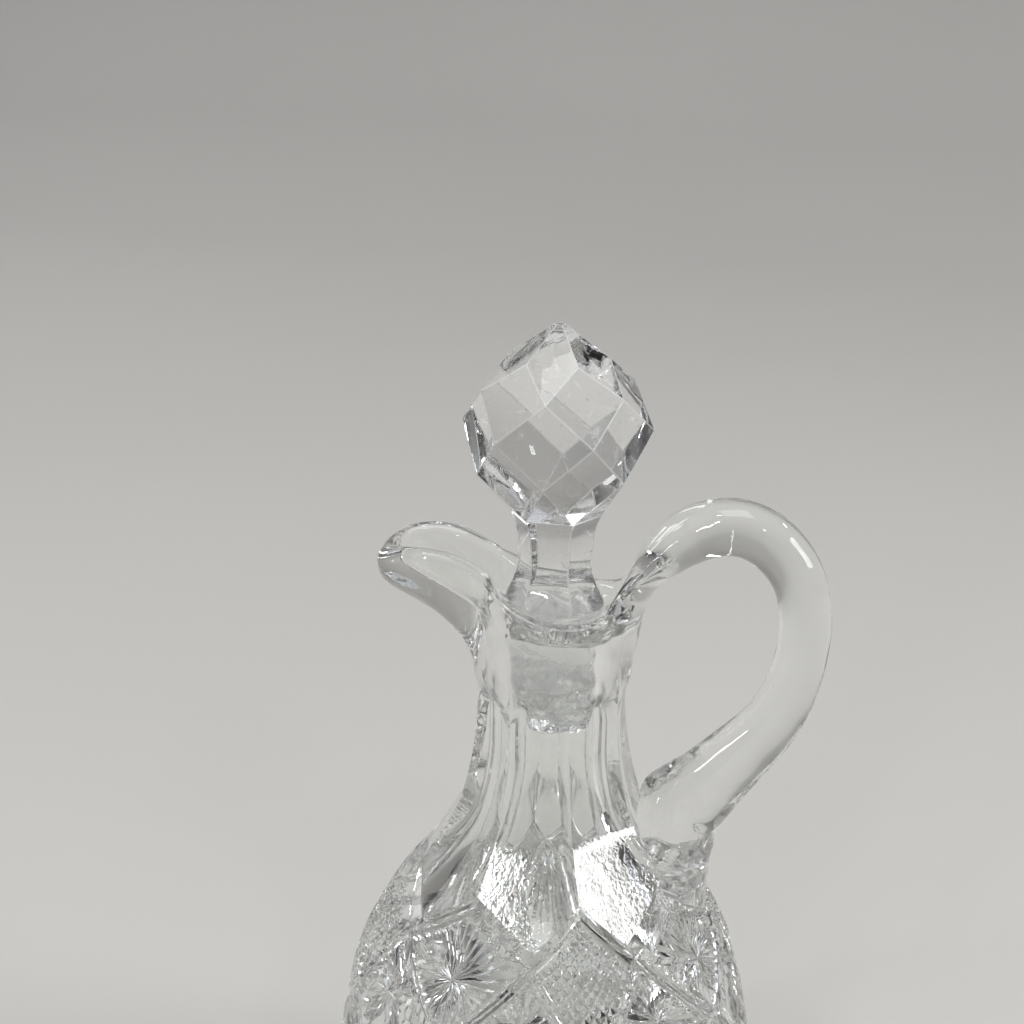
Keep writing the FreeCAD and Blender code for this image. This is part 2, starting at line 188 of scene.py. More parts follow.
def rim_height(x):
    """The height of the lip's edge along the bottle's length, seen from the side."""
    change_x = mix(CREST[0], DIP[0], CREST_SHARE_OF_WAY)
    if x <= change_x:
        centre_x, centre_z, radius = CREST
        return centre_z + math.sqrt(max(radius**2 - (x - centre_x) ** 2, 0))
    centre_x, centre_z, radius = DIP if x <= DIP[0] else BACK
    return centre_z - math.sqrt(radius**2 - (min(x, BACK_X) - centre_x) ** 2)


# --- the hollow -------------------------------------------------------------------------------
SEAT_LOW = 112.0
SEAT_TOP = 121.0
SEAT_TOP_R = 8.8
BORE_LOW = 97.0
BORE_R = 8.0
CAVITY_Z = 33.0
LOW_CAVITY = (8.0, CAVITY_Z, 27.0)
HIGH_CAVITY = (-12.0, CAVITY_Z, 47.0)
CAVITY_TOP = 66.67
BORE_BEND = 42.35


def hollow_radius(z):
    """The inside radius, from low in the cavity to the top of the seat."""
    if z <= CAVITY_Z:
        return arc_right(*LOW_CAVITY, z)
    if z <= CAVITY_TOP:
        return arc_right(*HIGH_CAVITY, z)
    if z <= BORE_LOW:
        return arc_left(BORE_R + BORE_BEND, BORE_LOW, BORE_BEND, z)
    if z <= SEAT_LOW:
        return BORE_R
    return mix(BORE_R, SEAT_TOP_R, (z - SEAT_LOW) / (SEAT_TOP - SEAT_LOW))


# --- meshes -----------------------------------------------------------------------------------
# Points are the same if they agree to this many decimals.
SAME_PLACES = 4


def at(turn, radius, z):
    return Vector((radius * cosd(turn), radius * sind(turn), z))


class Shell:
    """Points and faces of one mesh. Points that fall together become one.

    look is the number of the material that the next faces get.
    """

    def __init__(self):
        self.points = []
        self.faces = []
        self.looks = []
        self.look = 0
        self.known = {}

    def point(self, place):
        key = tuple(round(value, SAME_PLACES) for value in place)
        if key not in self.known:
            self.known[key] = len(self.points)
            self.points.append(Vector(place))
        return self.known[key]

    def face(self, *places):
        corners = []
        for place in places:
            index = self.point(place)
            if index not in corners:
                corners.append(index)
        if len(corners) > 2:
            self.faces.append(corners)
            self.looks.append(self.look)

    def rows(self, rows, closed=True):
        """Quads between neighbouring rows of places."""
        for low, high in zip(rows, rows[1:]):
            for i in range(len(low) if closed else len(low) - 1):
                j = (i + 1) % len(low)
                self.face(low[i], low[j], high[j], high[i])

    def fan(self, ring, middle):
        """Triangles from a ring of places to one in its middle."""
        for i, place in enumerate(ring):
            self.face(place, ring[(i + 1) % len(ring)], middle)

    def make(self, name, materials=()):
        mesh = bpy.data.meshes.new(name)
        for material in materials:
            mesh.materials.append(material)
        mesh.from_pydata([p * MM for p in self.points], [], self.faces)
        mesh.polygons.foreach_set("material_index", self.looks)
        mesh.validate()
        made = bpy.data.objects.new(name, mesh)
        bpy.context.collection.objects.link(made)
        outward(made)
        return made


def outward(made):
    """Turns every face's normal to the outside."""
    work = bmesh.new()
    work.from_mesh(made.data)
    bmesh.ops.recalc_face_normals(work, faces=work.faces)
    work.to_mesh(made.data)
    work.free()


def smooth(made, sharp):
    """Shades a mesh smoothly, except at edges sharper than an angle in degrees."""
    made.data.shade_smooth()
    made.data.set_sharp_from_angle(angle=math.radians(sharp))


def settle(made):
    """Puts the result of an object's modifiers into its mesh."""
    bpy.context.view_layer.update()
    graph = bpy.context.evaluated_depsgraph_get()
    mesh = bpy.data.meshes.new_from_object(made.evaluated_get(graph))
    made.modifiers.clear()
    made.data = mesh


def combine(made, other, operation):
    """Adds another closed mesh to this one, or cuts it away, and deletes the other."""
    cut = made.modifiers.new("join", "BOOLEAN")
    cut.operation = operation
    cut.solver = "MANIFOLD"
    cut.object = other
    settle(made)
    bpy.data.objects.remove(other, do_unlink=True)


# --- the pressed lattice ----------------------------------------------------------------------
TINY = 1e-9


def surface(turn, z, relief=0.0):
    """A place on the belly at a turn and height, moved in or out by relief."""
    return at(turn, body_radius(z) + relief, z)


def zip_rings(shell, outer, inner):
    """Triangles between two closed rings of (angle, place) that run the same way."""
    outer = outer + [(outer[0][0] + FULL, outer[0][1])]
    inner = inner + [(inner[0][0] + FULL, inner[0][1])]
    i = j = 0
    while i < len(outer) - 1 or j < len(inner) - 1:
        outer_next = outer[i + 1][0] if i < len(outer) - 1 else math.inf
        inner_next = inner[j + 1][0] if j < len(inner) - 1 else math.inf
        if outer_next <= inner_next:
            shell.face(outer[i][1], outer[i + 1][1], inner[j][1])
            i += 1
        else:
            shell.face(outer[i][1], inner[j + 1][1], inner[j][1])
            j += 1


class Cell:
    """One four-cornered cell of the lattice. Its corners are (turn, height), in order round it."""

    def __init__(self, right, top, left, bottom, raised=0.5):
        self.corners = [right, top, left, bottom]
        self.turn = mix(bottom[0], top[0], raised)
        self.z = mix(bottom[1], top[1], raised)
        slope = (body_radius(self.z + 1) - body_radius(self.z - 1)) / 2
        self.wide = math.radians(body_radius(self.z))
        self.tall = math.sqrt(1 + slope**2)

    def angle(self, turn, z):
        """The direction of a place from the middle of the cell, measured on the glass."""
        across = (turn - self.turn) * self.wide
        up = (z - self.z) * self.tall
        return math.degrees(math.atan2(up, across)) % FULL

    def edge(self, share, steps):
        """Places as (turn, height) round the cell, scaled about its middle."""
        places = []
        for side in range(4):
            start, end = self.corners[side], self.corners[(side + 1) % 4]
            for step in range(steps):
                turn = mix(start[0], end[0], step / steps)
                z = mix(start[1], end[1], step / steps)
                places.append((mix(self.turn, turn, share), mix(self.z, z, share)))
        return places

    def ring(self, share, steps, relief):
        """The same ring as (angle, place) in rising order of angle."""
        ring = [
            (self.angle(turn, z), surface(turn, z, relief)) for turn, z in self.edge(share, steps)
        ]
        return sorted(ring, key=lambda item: item[0])

    def reach(self, angle):
        """How far the cell's edge is from its middle in one direction on the glass."""
        along = Vector((cosd(angle), sind(angle)))
        for side in range(4):
            start, end = (
                Vector(((t - self.turn) * self.wide, (z - self.z) * self.tall))
                for t, z in (self.corners[side], self.corners[(side + 1) % 4])
            )
            run = end - start
            cross = along.x * run.y - along.y * run.x
            if abs(cross) < TINY:
                continue
            distance = (start.x * run.y - start.y * run.x) / cross
            share = (start.x * along.y - start.y * along.x) / cross
            if distance > 0 and -TINY <= share <= 1 + TINY:
                return distance
        raise ValueError("the direction misses the cell's edge")

    def polar(self, angle, distance, relief):
        turn = self.turn + distance * cosd(angle) / self.wide
        z = self.z + distance * sind(angle) / self.tall
        return surface(turn, z, relief)

    def frame(self, shell):
        """The crest and groove that part this cell from its neighbours. Returns the groove's ring."""
        crest = self.ring(1.0, SIDE_STEPS, -CREST_DEEP)
        flat = self.ring(CREST_SHARE, SIDE_STEPS, -CREST_DEEP)
        groove = self.ring(GROOVE_SHARE, SIDE_STEPS, -GROOVE_DEEP)
        zip_rings(shell, crest, flat)
        zip_rings(shell, flat, groove)
        return groove


ROSETTE_RAYS = 28
FAN_RAYS = 20
FAN_RAISED = 0.64
RAY_RINGS = [1.0, 0.97, 0.93, 0.86, 0.74, 0.60, 0.46, 0.34, 0.24, 0.16, 0.09]
RAY_DEEP = 0.85
# Shares of the way out between which a ray is deepest, and how it shallows towards the middle.
RAY_FULL_FROM = 0.34
RAY_FULL_TO = 0.86
RAY_START_POWER = 0.7
# The depth across one ray, as shares of its deepest.
RAY_PROFILE = (0.0, 0.55, 1.0, 0.55)
CROWN = 0.35
POINTS_A_SIDE = 10
POINT_RISE = 0.75
RIDGE_RISE = 0.04


def rosette_cell(shell, cell, rays=ROSETTE_RAYS):
    """Mitre cuts that run out from the middle and end near the cell's edge."""
    groove = cell.frame(shell)
    steps = rays * len(RAY_PROFILE)
    rings = []
    for share in RAY_RINGS:
        start = clamp(share / RAY_FULL_FROM) ** RAY_START_POWER
        deep = RAY_DEEP * smoothstep(1.0, RAY_FULL_TO, share) * start
        ring = []
        for step in range(steps):
            angle = FULL * step / steps
            reach = cell.reach(angle) * FIELD_SHARE * share
            cut = RAY_PROFILE[step % len(RAY_PROFILE)]
            crown = CROWN * (1 - share**2)
            ring.append((angle, cell.polar(angle, reach, crown - FIELD_DEEP - deep * cut)))
        rings.append(ring)
    zip_rings(shell, groove, rings[0])
    shell.rows([[place for _, place in ring] for ring in rings])
    shell.fan([place for _, place in rings[-1]], surface(cell.turn, cell.z, FIELD_DEEP))


def fan_cell(shell, cell):
    """A rosette with fewer rays, whose middle sits high in its cell."""
    rosette_cell(shell, cell, FAN_RAYS)


def points_cell(shell, cell):
    """Rows of small four-sided points, side by side."""
    groove = cell.frame(shell)
    steps = POINTS_A_SIDE * 2
    right, top, left, bottom = (
        (mix(cell.turn, turn, FIELD_SHARE), mix(cell.z, z, FIELD_SHARE))
        for turn, z in cell.corners
    )

    def place(i, j):
        a, b = i / steps, j / steps
        turn, z = (
            mix(mix(right[n], top[n], a), mix(bottom[n], left[n], a), b) for n in (0, 1)
        )
        rise = POINT_RISE if i % 2 and j % 2 else 0.0
        if i % 2 != j % 2:
            rise = RIDGE_RISE
        inside = 0 < i < steps and 0 < j < steps
        return turn, z, surface(turn, z, (rise if inside else 0.0) - FIELD_DEEP)

    for i in range(steps):
        for j in range(steps):
            around = ((i, j), (i + 1, j), (i + 1, j + 1), (i, j + 1))
            corners = [place(*spot)[2] for spot in around]
            if (i + j) % 2:
                corners = corners[1:] + corners[:1]
            shell.face(corners[0], corners[1], corners[2])
            shell.face(corners[0], corners[2], corners[3])
    rim = [(i, 0) for i in range(steps)]
    rim += [(steps, j) for j in range(steps)]
    rim += [(steps - i, steps) for i in range(steps)]
    rim += [(0, steps - j) for j in range(steps)]
    border = []
    for i, j in rim:
        turn, z, spot = place(i, j)
        border.append((cell.angle(turn, z), spot))
    zip_rings(shell, groove, sorted(border, key=lambda item: item[0]))


def side_turn(k, way=1):
    """The turn of a corner between a rosette cell and a point cell, nearer to the point cell."""
    return PANEL_TURN * k + (CORNER_SHIFT if k % 2 == 0 else -CORNER_SHIFT) * way


def lattice(shell):
    """Four rows of cells round the belly: points and rosettes in turn, with fans between them."""
    zero, one, two, three, four, five = LATTICE
    makers = [points_cell, rosette_cell]
    for k in range(PANELS):
        turn = PANEL_TURN * k
        odd = turn + HALF_PANEL
        before = turn - HALF_PANEL
        upper = (side_turn(k), side_turn(k + 1))
        lower = (side_turn(k, -1), side_turn(k + 1, -1))
        makers[k % 2](shell, Cell((upper[1], one), (odd, zero), (upper[0], one), (odd, two)))
        fan_cell(
            shell, Cell((odd, two), (upper[0], one), (before, two), (lower[0], three), FAN_RAISED)
        )
        makers[(k + 1) % 2](
            shell, Cell((lower[1], three), (odd, two), (lower[0], three), (odd, four))
        )
        fan_cell(
            shell, Cell((odd, four), (lower[0], three), (before, four), (turn, five), FAN_RAISED)
        )


# --- neck panels, flutes, lip, hollow and base --------------------------------------------------
# The band over the lattice: height over the cells' corners, then depth. Its crest is round and the
# rest of it follows the flat panels.
BAND = [(0.0, -CREST_DEEP), (0.3, -CREST_DEEP), (0.9, -GROOVE_DEEP), (1.7, 0.0)]
BAND_CREST_ROWS = 2
ARCH_TOP = 112.3
ARCH_DROP = 4.5
ARCH_RUN = 4.0


def panel_radius(share, z):
    """Radius of a flat neck panel, at a share from -1 to 1 of its half width."""
    round_r = body_radius(z)
    flat_r = round_r * cosd(HALF_PANEL) / cosd(HALF_PANEL * share)
    arch = ARCH_TOP - ARCH_DROP * share**2
    return mix(flat_r, round_r, smoothstep(arch - ARCH_RUN, arch, z))


NECK_ROWS = 44
# The share of the way up the neck at which the columns stand evenly again.
EVEN_FROM = 0.35


def neck_column(column, rise):
    """For one column, at a rise from 0 to 1 up the neck.

    Returns its turn, its share across the panel and the height of the lattice under it.
    """
    half = COLUMNS // PANELS // 2
    panel = round(column / (2 * half))
    place = column - panel * 2 * half
    even = PANEL_TURN * panel + HALF_PANEL * place / half
    tip = side_turn(panel)
    edge = PANEL_TURN * panel + (HALF_PANEL if place > 0 else -HALF_PANEL)
    low_turn = mix(tip, edge, abs(place) / half)
    turn = mix(low_turn, even, smoothstep(0, EVEN_FROM, rise))
    share = (turn - PANEL_TURN * panel) / HALF_PANEL
    return turn, share, mix(LATTICE[1], LATTICE[0], abs(place) / half)


def neck_rows():
    """Rows of places from the lattice up to the lip."""
    rows = []
    for n, (band, depth) in enumerate(BAND):
        row = []
        for column in range(COLUMNS):
            turn, share, low = neck_column(column, 0)
            z = low + band
            radius = body_radius(z) if n < BAND_CREST_ROWS else panel_radius(share, z)
            row.append(at(turn, radius + depth, z))
        rows.append(row)
    for step in range(1, NECK_ROWS + 1):
        row = []
        for column in range(COLUMNS):
            turn, share, low = neck_column(column, step / NECK_ROWS)
            z = mix(low + BAND[-1][0], NECK_TOP, step / NECK_ROWS)
            row.append(at(turn, panel_radius(share, z), z))
        rows.append(row)
    return rows


FLUTES = 4
FLUTE_DEEP = 0.7
FLUTE_ROWS = 14


def flute_rows():
    """Rows of places from the lattice down to the foot."""
    rows = []
    for step in range(FLUTE_ROWS + 1):
        down = step / FLUTE_ROWS
        row = []
        for column in range(COLUMNS):
            turn = FULL * column / COLUMNS
            share = abs((turn % PANEL_TURN) - HALF_PANEL) / HALF_PANEL
            high = mix(LATTICE[4], LATTICE[5], share)
            z = mix(high, FOOT_TOP, down)
            run = math.sqrt(math.sin(math.pi * down))
            flute = abs(math.sin(math.pi * FLUTES * share))
            sunk = CREST_DEEP * (1 - down) ** 3
            row.append(surface(turn, z, -FLUTE_DEEP * run * flute - sunk))
        rows.append(row)
    return rows


LIP_WALL = 4.0
RIM_HALF = 2.0
RIM_STEPS = 10
LIP_ROWS = 18
EDGE_ROUNDS = 12
EDGE_STRIDE = 0.6
# Marks of the tool that pinched the lip's sides: depth, heights between which they show and over
# which they fade, their size, and how quickly they stop towards the front and back.
PINCH_DEEP = 0.5
PINCH_FROM = 112.5
PINCH_TO = 128.0
PINCH_FADE_IN = 2.0
PINCH_FADE_OUT = 6.0
PINCH_MEAN = 0.5
PINCH_SWING = 0.6
PINCH_SCALE = 0.42
PINCH_STRETCH = 0.6
PINCH_POWER = 1.5
# The inside of the lip: how far its curve's two middle points stand off its ends, in and down.
INSIDE_START = (0.30, 0.38)
INSIDE_END = (0.12, 0.38)


def lip_edge(turn):
    """Height of the lip's edge at one turn, where its outside wall meets the edge's curve."""
    z = LIP_OUTSIDE[-2][0]
    for _ in range(EDGE_ROUNDS):
        x = lip_radius(turn, z) * cosd(turn)
        z = mix(z, rim_height(x), EDGE_STRIDE)
    return z


def curve_point(first, second, third, fourth, t):
    """A place on a four-point curve."""
    return (
        first * (1 - t) ** 3
        + second * (3 * t * (1 - t) ** 2)
        + third * (3 * t * t * (1 - t))
        + fourth * t**3
    )


def part_way(run, across, down):
    """A run shortened to one share across and another in height."""
    return Vector((run.x * across, run.y * across, run.z * down))


def pinch(turn, z):
    """The depth of the pinch marks, which lie towards the spout and towards the handle."""
    spot = at(turn, SEAT_TOP_R, z)
    spot.z *= PINCH_STRETCH
    marks = PINCH_MEAN + PINCH_SWING * noise.noise(spot * PINCH_SCALE)
    low = smoothstep(PINCH_FROM, PINCH_FROM + PINCH_FADE_IN, z)
    high = smoothstep(PINCH_TO, PINCH_TO - PINCH_FADE_OUT, z)
    return PINCH_DEEP * marks * (low * high) * abs(cosd(turn)) ** PINCH_POWER


def lip_rows():
    """Rows of places up the outside of the lip, over its rounded rim and down to the seat."""
    turns = [FULL * column / COLUMNS for column in range(COLUMNS)]
    edges = [lip_edge(turn) for turn in turns]
    rows = []
    for step in range(1, LIP_ROWS + 1):
        row = []
        for turn, edge in zip(turns, edges):
            z = mix(NECK_TOP, edge - RIM_HALF, step / LIP_ROWS)
            row.append(at(turn, lip_radius(turn, z) - pinch(turn, z), z))
        rows.append(row)
    outer = rows[-1]
    inner = []
    for n, place in enumerate(outer):
        along = outer[(n + 1) % COLUMNS] - outer[n - 1]
        inward = Vector((-along.y, along.x, 0)).normalized()
        spot = place + inward * LIP_WALL
        spot.z = rim_height(spot.x) - RIM_HALF
        inner.append(spot)
    for step in range(1, RIM_STEPS + 1):
        angle = HALF_CIRCLE * step / RIM_STEPS
        row = []
        for out, hollow in zip(outer, inner):
            middle = (out + hollow) / 2
            lift = Vector((0, 0, RIM_HALF * sind(angle)))
            row.append(middle + (out - middle) * cosd(angle) + lift)
        rows.append(row)
    for step in range(1, LIP_ROWS + 1):
        row = []
        for turn, start in zip(turns, inner):
            end = at(turn, SEAT_TOP_R, SEAT_TOP)
            second = start - part_way(start - end, *INSIDE_START)
            third = end + part_way(start - end, *INSIDE_END)
            row.append(curve_point(start, second, third, end, step / LIP_ROWS))
        rows.append(row)
    return rows


def ring_of(radius, z):
    return [at(FULL * column / COLUMNS, radius, z) for column in range(COLUMNS)]


# Heights of the rows down the seat and bore, then (count, first, fall) down the cavity, and the
# rows of (radius, height) on its floor.
SEAT_HEIGHTS = [119.0, 116.0, 112.0, 108.0, 104.0, 100.5]
CAVITY_RUNS = [(30, BORE_LOW, 1.2), (26, 60.0, 2.0), (1, 8.6, 0.0)]
FLOOR_RINGS = [(17.5, 8.1), (14.0, 8.0), (7.0, 8.0)]
CAVITY_FLOOR = 8.0


def hollow_rows():
    """Rows of places from the seat down to near the middle of the cavity's floor."""
    heights = list(SEAT_HEIGHTS)
    for count, first, fall in CAVITY_RUNS:
        heights += [first - step * fall for step in range(count)]
    rows = [ring_of(hollow_radius(z), z) for z in heights]
    return rows + [ring_of(*ring) for ring in FLOOR_RINGS]


RECESS = 1.5
# Radius and height down the foot's side, under its resting ring and up into the recess.
FOOT_RINGS = [(27.0, 0.9), (26.8, 0.4), (26.4, 0.0), (22.5, 0.0), (22.0, 0.3), (21.0, RECESS)]
STAR_RAYS = 16
STAR_DEEP = 0.8
STAR_REACH = 20.5
STAR_POWER = 0.6
STAR_RADII = [20.0, 17.0, 13.0, 9.0, 5.0, 2.0]
STAR_MIDDLE = RECESS + 0.2


def base_rows():
    """Rows of places from the foot's side to near the middle of the star under the base."""
    rows = [ring_of(*ring) for ring in FOOT_RINGS]
    for radius in STAR_RADII:
        row = []
        for column in range(COLUMNS):
            turn = FULL * column / COLUMNS
            wave = 2 * abs(turn * STAR_RAYS / FULL % 1 - 0.5)
            run = math.sin(math.pi * clamp((STAR_REACH - radius) / STAR_REACH)) ** STAR_POWER
            row.append(at(turn, radius, RECESS + STAR_DEEP * run * wave))
        rows.append(row)
    return rows


# The places of the two glasses in the bottle's list of materials.
CLEAR_LOOK = 0
SPECKLED_LOOK = 1


def make_bottle(materials):
    """The bottle without its handle: outside, lip, hollow and base as one closed surface."""
    shell = Shell()
    lattice(shell)
    neck = neck_rows()
    hollow = hollow_rows()
    base = base_rows()
    shell.look = SPECKLED_LOOK
    shell.rows(neck)
    shell.look = CLEAR_LOOK
    shell.rows(neck[-1:] + lip_rows() + hollow)
    shell.rows(flute_rows() + base)
    for ring, z in ((hollow[-1], CAVITY_FLOOR), (base[-1], STAR_MIDDLE)):
        shell.fan(ring, (0, 0, z))
    return shell.make("bottle_glass", materials)


# --- the handle ---------------------------------------------------------------------------------
# X, height, direction of travel from +X towards +Z, then half thickness and half width over the
# slimmest, and how far the glass wraps round the neck: 1 follows the lip's wall, 0 is straight.
HANDLE_RUN = [
    (13.8, 121.0, 80, 0.40, 2.45, 1.0),
    (14.8, 126.0, 79, 0.42, 2.45, 1.0),
    (16.2, 130.0, 74, 0.52, 2.30, 1.0),
    (17.9, 133.9, 60, 0.72, 1.90, 0.7),
    (20.6, 137.3, 45, 0.95, 1.50, 0.4),
    (24.3, 140.3, 33, 1.08, 1.26, 0.1),
    (28.5, 142.3, 16, 1.13, 1.16, 0.0),
    (33.5, 143.0, -3, 1.12, 1.12, 0.0),
    (40.1, 140.4, -38, 1.08, 1.08, 0.0),
    (44.8, 134.8, -62, 1.04, 1.04, 0.0),
    (46.7, 127.8, -82, 1.01, 1.01, 0.0),
    (46.6, 120.4, -97, 1.00, 1.00, 0.0),
    (44.9, 112.8, -108, 1.04, 1.03, 0.0),
    (41.4, 105.4, -120, 1.13, 1.06, 0.0),
    (36.2, 98.9, -130, 1.27, 1.10, 0.0),
    (30.8, 92.8, -131, 1.44, 1.22, 0.0),
    (25.5, 87.1, -121, 1.78, 1.50, 0.3),
    (24.0, 80.0, -104, 1.62, 1.72, 0.6),
    (23.4, 73.0, -92, 1.56, 1.68, 0.8),
    (24.2, 66.0, -86, 1.35, 1.40, 0.8),
]
HANDLE_R = 4.8
HANDLE_SIDES = 48
RUN_STEPS = 7
WRAP_R = 16.5
# The middle of an end is pulled in less than the end's sides are. A larger number pulls it less.
END_PULL = 6
# The crease under the handle's heel: its height, how tall and how deep it is, and the bound of the
# part of the handle that has it.
CREASE_Z = 82.3
CREASE_TALL = 1.3
CREASE_DEEP = 1.0
CREASE_FROM_X = 26
CREASE_BELOW = 90


def handle_stations():
    """Middle, direction, half thickness, half width and wrap along the handle."""
    stations = []
    for low, high in zip(HANDLE_RUN, HANDLE_RUN[1:]):
        start, end = Vector((low[0], 0, low[1])), Vector((high[0], 0, high[1]))
        length = (end - start).length
        go_in = Vector((cosd(low[2]), 0, sind(low[2]))) * length / 3
        go_out = Vector((cosd(high[2]), 0, sind(high[2]))) * length / 3
        for step in range(RUN_STEPS):
            t = step / RUN_STEPS
            middle = curve_point(start, start + go_in, end - go_out, end, t)
            direction, thick, wide, wrap = (mix(low[n], high[n], t) for n in (2, 3, 4, 5))
            stations.append((middle, direction, thick * HANDLE_R, wide * HANDLE_R, wrap))
    x, z, direction, thick, wide, wrap = HANDLE_RUN[-1]
    stations.append((Vector((x, 0, z)), direction, thick * HANDLE_R, wide * HANDLE_R, wrap))
    return stations


def handle_ring(middle, direction, thick, wide, wrap):
    """One section of the handle, with the crease on its outer side. Wrap pulls its sides in."""
    across = Vector((-sind(direction), 0, cosd(direction)))
    ring = []
    for n in range(HANDLE_SIDES):
        angle = FULL * n / HANDLE_SIDES
        side = wide * sind(angle)
        place = middle + across * thick * cosd(angle) + Vector((0, side, 0))
        place.x -= wrap * side**2 / (2 * WRAP_R)
        if place.x > CREASE_FROM_X and place.z < CREASE_BELOW:
            crease = math.exp(-(((place.z - CREASE_Z) / CREASE_TALL) ** 2))
            place.x -= CREASE_DEEP * crease * max(cosd(angle), 0)
        ring.append(place)
    return ring


def make_handle():
    """The handle as a closed tube. Its ends lie inside the lip's wall and the shoulder's."""
    shell = Shell()
    stations = handle_stations()
    rings = [handle_ring(*station) for station in stations]
    shell.rows(rings)
    for ring, station in ((rings[0], stations[0]), (rings[-1], stations[-1])):
        middle, _, _, wide, wrap = station
        tip = Vector(middle)
        tip.x -= wrap * wide**2 / (END_PULL * WRAP_R)
        shell.fan(ring, tip)
    return shell.make("handle_glass")


CORE_WALL = 1.2
# Radius and height of the core's ends, and the heights of the rows between them.
CORE_FOOT = (1.0, 40.0)
CORE_HEAD = (1.0, 118.5)
CORE_HEIGHTS = range(40, 119, 3)


def make_core():
    """The room that the handle's glass stays out of: the cavity and a wall round it."""
    shell = Shell()
    rows = [ring_of(*CORE_FOOT)]
    rows += [ring_of(hollow_radius(z) + CORE_WALL, z) for z in CORE_HEIGHTS]
    rows.append(ring_of(*CORE_HEAD))
    shell.rows(rows)
    shell.face(*rows[0])
    shell.face(*rows[-1])
    return shell.make("core")


# --- the stopper --------------------------------------------------------------------------------
FACETS = 6
FACET_TURN = FULL / FACETS
# Radius and height of the tip's corners and of the corners of each ring under it.
TIP = (1.14, 179.2)
KNOB_RINGS = [(9.40, 173.4), (15.0, 167.85), (17.8, 160.4), (15.6, 152.25), (8.7, 143.7)]
# Height and radius up the shank, its lowest height, the heights at which it is round and
# six-sided, its rows, and the places along one of its sides.
SHANK = [
    (124.8, 9.1),
    (126.0, 9.45),
    (127.4, 9.1),
    (129.6, 8.1),
    (133.0, 7.0),
    (137.0, 7.1),
    (141.0, 7.6),
    (143.7, 8.7),
]
SHANK_LOW = 124.8
SHANK_ROUND = (125.6, 130.5)
SHANK_ROWS = 30
EDGE_STEPS = 12
# The knob's ground edges: width, steps across, the least bend in degrees that makes one.
EDGE_WIDTH = 0.17
EDGE_SEGMENTS = 2
EDGE_BEND = 14
# The places of two of the stopper's three glasses in its list of materials.
EDGE_LOOK = 1
PLUG_LOOK = 2
# Radius and height up the plug, from the middle of its end to the middle of its top.
PLUG = [
    (0.0, 102.0),
    (3.0, 102.0),
    (5.0, 102.05),
    (5.9, 102.3),
    (6.6, 102.8),
    (6.95, 103.5),
    (7.12, 104.4),
    (8.98, 123.9),
    (9.2, 125.1),
    (9.0, 125.5),
    (8.6, 125.6),
    (0.0, 125.6),
]
PLUG_COLUMNS = 96


def knob_ring(radius, z, twisted):
    start = FACET_TURN / 2 if twisted else 0.0
    return [at(start + FACET_TURN * k, radius, z) for k in range(FACETS)]


def hexagon(radius, z):
    """A six-sided ring of places with its corners in line with the knob's first ring."""
    corners = knob_ring(radius, z, False)
    ring = []
    for start, end in zip(corners, corners[1:] + corners[:1]):
        ring += [start.lerp(end, step / EDGE_STEPS) for step in range(EDGE_STEPS)]
    return ring


def shank_row(z):
    """The shank at one height: six-sided in its waist, round where it spreads over the plug."""
    radius = between(SHANK, z)
    six = smoothstep(*SHANK_ROUND, z)
    return [at_radius(place, mix(radius, place.xy.length, six)) for place in hexagon(radius, z)]


def at_radius(place, radius):
    return Vector((*(place.xy.normalized() * radius), place.z))


def make_knob(materials):
    """The faceted knob and its shank, with narrow ground edges."""
    shell = Shell()
    tip = knob_ring(*TIP, False)
    one, two, three, four, five = (
        knob_ring(radius, z, n % 2 == 1) for n, (radius, z) in enumerate(KNOB_RINGS)
    )
    shell.face(*tip)
    for k in range(FACETS):
        after = (k + 1) % FACETS
        before = k - 1
        shell.face(tip[k], one[k], two[k], one[after], tip[after])
        shell.face(one[k], two[before], three[k], two[k])
        shell.face(two[k], three[k], four[k], three[after])
        shell.face(three[k], four[before], five[k], four[k])
        edge = [five[k].lerp(five[after], step / EDGE_STEPS) for step in range(EDGE_STEPS + 1)]
        shell.face(four[k], *edge)
    rows = [hexagon(*KNOB_RINGS[-1])]
    for step in range(1, SHANK_ROWS + 1):
        rows.append(shank_row(mix(KNOB_RINGS[-1][1], SHANK_LOW, step / SHANK_ROWS)))
    shell.rows(rows)
    shell.face(*rows[-1])
    made = shell.make("stopper_glass", materials)
    bevel = made.modifiers.new("ground_edges", "BEVEL")
    bevel.width = EDGE_WIDTH * MM
    bevel.segments = EDGE_SEGMENTS
    bevel.material = EDGE_LOOK
    bevel.limit_method = "ANGLE"
    bevel.angle_limit = math.radians(EDGE_BEND)
    settle(made)
    return made


# How far the plug's surface sinks by the noise: on its seat and, deeper, under a ragged ledge.
PLUG_NOISE = 0.10
DENT_DEEP = 0.75
DENT_MEAN = 0.5
DENT_TOP = 112.6
DENT_LEDGE = 1.1
DENT_RAGGED = 2.4
LEDGE_SCALE = 0.12
# The scale and the weight of the broad dents and of the small ones.
BROAD_DENTS = (0.38, 0.6)
SMALL_DENTS = (0.95, 0.3)
# The one run of the outline that is taller than this is split into rows.
PLUG_TALL_RUN = 5
PLUG_ROWS = 44


def plug_dents(place):
    """The unevenness at one place, around 0."""
    return sum(noise.noise(place * scale) * weight for scale, weight in (BROAD_DENTS, SMALL_DENTS))


